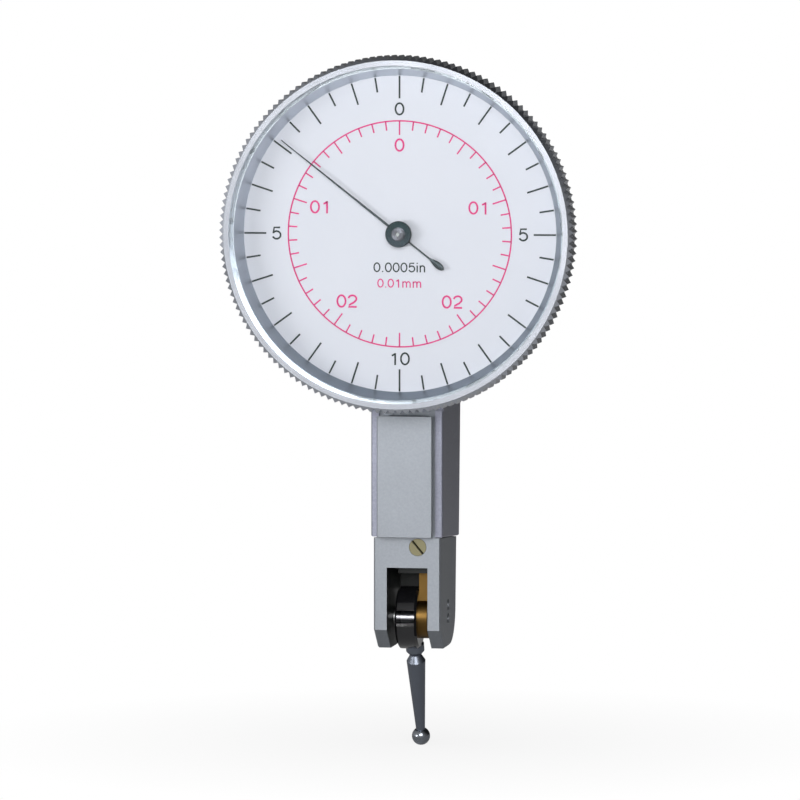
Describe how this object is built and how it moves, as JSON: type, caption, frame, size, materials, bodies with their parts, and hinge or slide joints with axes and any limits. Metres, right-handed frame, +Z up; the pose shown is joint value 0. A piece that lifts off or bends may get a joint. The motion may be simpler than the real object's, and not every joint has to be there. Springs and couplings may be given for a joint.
{
  "type": "dial test indicator",
  "caption": "Dial test indicator: slim body with three dovetails, knurled turning bezel, pointer on a round dial, and a ball-tipped stylus held by a friction clutch in a fork.",
  "frame": {"origin": "Where the dial's axis meets the outer face of the rear dovetail, at the middle of that face.", "axes": "+X to the right of someone reading the dial, +Y backwards along the dial's axis, +Z up along the body, away from the stylus."},
  "size_m": [0.038, 0.022, 0.0755],
  "materials": {
    "body_steel": "fine satin chrome",
    "cover_steel": "fine satin chrome",
    "screw_steel": "turned",
    "polished_steel": "polished",
    "spring_steel": "polished",
    "stylus_steel": "ground",
    "ball_steel": "polished",
    "chrome_plate": "bright chrome",
    "hub_steel": "turned rings",
    "blued_steel": "dark lacquer",
    "black_oxide": "black oxide, semi-gloss",
    "brass": "fine turned",
    "jewel": "polished ruby",
    "crystal_glass": "clear",
    "dial_paint": "matt pale grey-white enamel"
  },
  "bodies": {
    "frame": {"main_frame": "body_steel", "left_side_cover": "cover_steel", "right_side_cover": "cover_steel", "side_cover_screws": "screw_steel", "travel_stop_screw": "brass", "pivot_bearing_screws": "screw_steel", "centre_bridge": "brass", "bridge_screw": "screw_steel", "jewel_bearings": "jewel", "dial_base": "cover_steel", "dial_base_screws": "screw_steel", "bezel_keeper_ring": "spring_steel", "hairspring": "spring_steel", "hairspring_stud": "brass"},
    "bezel": {"bezel": "chrome_plate", "crystal": "crystal_glass", "dial_face": "dial_paint"},
    "pointer": {"centre_arbor": "polished_steel", "pointer_hand": "blued_steel", "pointer_hub": "hub_steel", "hairspring_collet": "brass"},
    "crown": {"crown_wheel": "brass", "crown_arbor": "polished_steel"},
    "lever": {"transmission_lever": "brass", "pivot_axle": "polished_steel", "clutch_spring_washer": "black_oxide", "clutch_nut": "black_oxide"},
    "stylus": {"stylus_carrier": "black_oxide", "carrier_sleeve": "polished_steel", "contact_stylus": "stylus_steel", "contact_ball": "ball_steel"}
  },
  "joints": [
    {"name": "pointer_turn", "type": "hinge", "parent": "frame", "child": "pointer", "pos_m": [0, -0.0188, 0], "axis": [0, 1, 0], "range_deg": [-270, 270], "stiffness_Nm_per_rad": 0.00001, "deforming": ["hairspring"]},
    {"name": "crown_turn", "type": "hinge", "parent": "frame", "child": "crown", "pos_m": [0, -0.008, 0], "axis": [1, 0, 0], "range_deg": [-41, 41]},
    {"name": "lever_swing", "type": "hinge", "parent": "frame", "child": "lever", "pos_m": [0, -0.0088, -0.04199], "axis": [1, 0, 0], "range_deg": [-1.52, 1.52]},
    {"name": "stylus_set", "type": "hinge", "parent": "lever", "child": "stylus", "pos_m": [0, -0.0088, -0.04199], "axis": [1, 0, 0], "range_deg": [-126.4, 83.6]},
    {"name": "bezel_turn", "type": "hinge", "parent": "frame", "child": "bezel", "pos_m": [0, -0.0188, 0], "axis": [0, 1, 0], "continuous": true}
  ],
  "couplings": [
    {"joint": "crown_turn", "follows": "pointer_turn", "ratio": -0.15},
    {"joint": "lever_swing", "follows": "pointer_turn", "ratio": 0.0055556}
  ]
}
